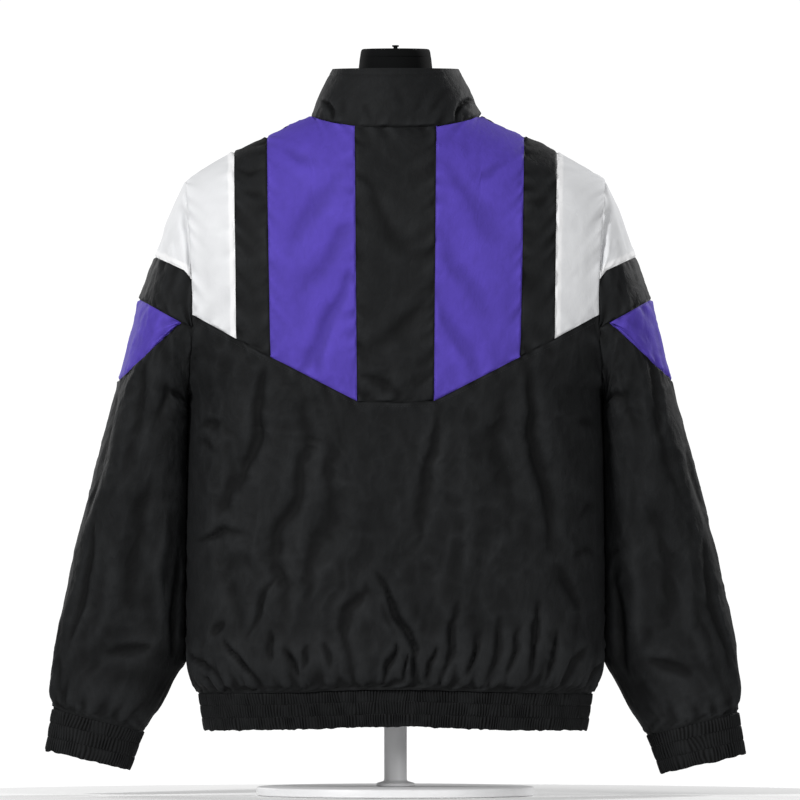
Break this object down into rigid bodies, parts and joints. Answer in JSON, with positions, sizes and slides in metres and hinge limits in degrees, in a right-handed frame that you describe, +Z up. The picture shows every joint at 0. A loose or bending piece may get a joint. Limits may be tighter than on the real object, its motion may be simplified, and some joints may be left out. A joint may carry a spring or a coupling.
{
  "type": "windbreaker jacket on a dress form",
  "caption": "Zipped windbreaker jacket with a stand collar, colour-blocked yoke and elastic hem and cuffs, worn by a limbless dress form on a round base.",
  "frame": {"origin": "centre of the underside of the form's base plate", "axes": "+Z up, the jacket's front faces -Y and its back faces +Y, the wearer's left is +X"},
  "size_m": [0.8086, 0.32, 0.8625],
  "materials": {
    "black_nylon": "crinkled nylon taffeta",
    "purple_nylon": "crinkled nylon taffeta",
    "white_nylon": "crinkled nylon taffeta",
    "elastic": "gathered elastic",
    "zip_tape": "woven tape",
    "zip_moulded": "moulded",
    "zip_metal": "black lacquered zinc",
    "form_cover": "jersey cover",
    "stand_enamel": "powder coated steel"
  },
  "bodies": {
    "root": {"back_lower": "black_nylon", "yoke_centre": "black_nylon", "collar": "black_nylon", "hem_band": "elastic", "zip_chain": "zip_moulded", "zip_slider": "zip_metal", "form_torso": "form_cover", "form_cap": "form_cover", "form_post": "stand_enamel", "form_base": "stand_enamel", "yoke_purple_left": "purple_nylon", "yoke_purple_right": "purple_nylon", "yoke_strip_left": "black_nylon", "yoke_strip_right": "black_nylon", "yoke_white_left": "white_nylon", "yoke_white_right": "white_nylon", "front_left": "black_nylon", "front_right": "black_nylon", "sleeve_cap_left": "white_nylon", "sleeve_cap_right": "white_nylon", "sleeve_band_left": "black_nylon", "sleeve_band_right": "black_nylon", "sleeve_wedge_left": "purple_nylon", "sleeve_wedge_right": "purple_nylon", "sleeve_lower_left": "black_nylon", "sleeve_lower_right": "black_nylon", "cuff_left": "elastic", "cuff_right": "elastic", "zip_tape_left": "zip_tape", "zip_tape_right": "zip_tape"},
    "zip_pull": {"zip_pull": "zip_metal"}
  },
  "joints": [
    {"name": "zip_pull_swing", "type": "hinge", "parent": "root", "child": "zip_pull", "pos_m": [0, -0.08436, 0.8129], "axis": [-1, 0, 0], "range_deg": [0, 150]}
  ]
}
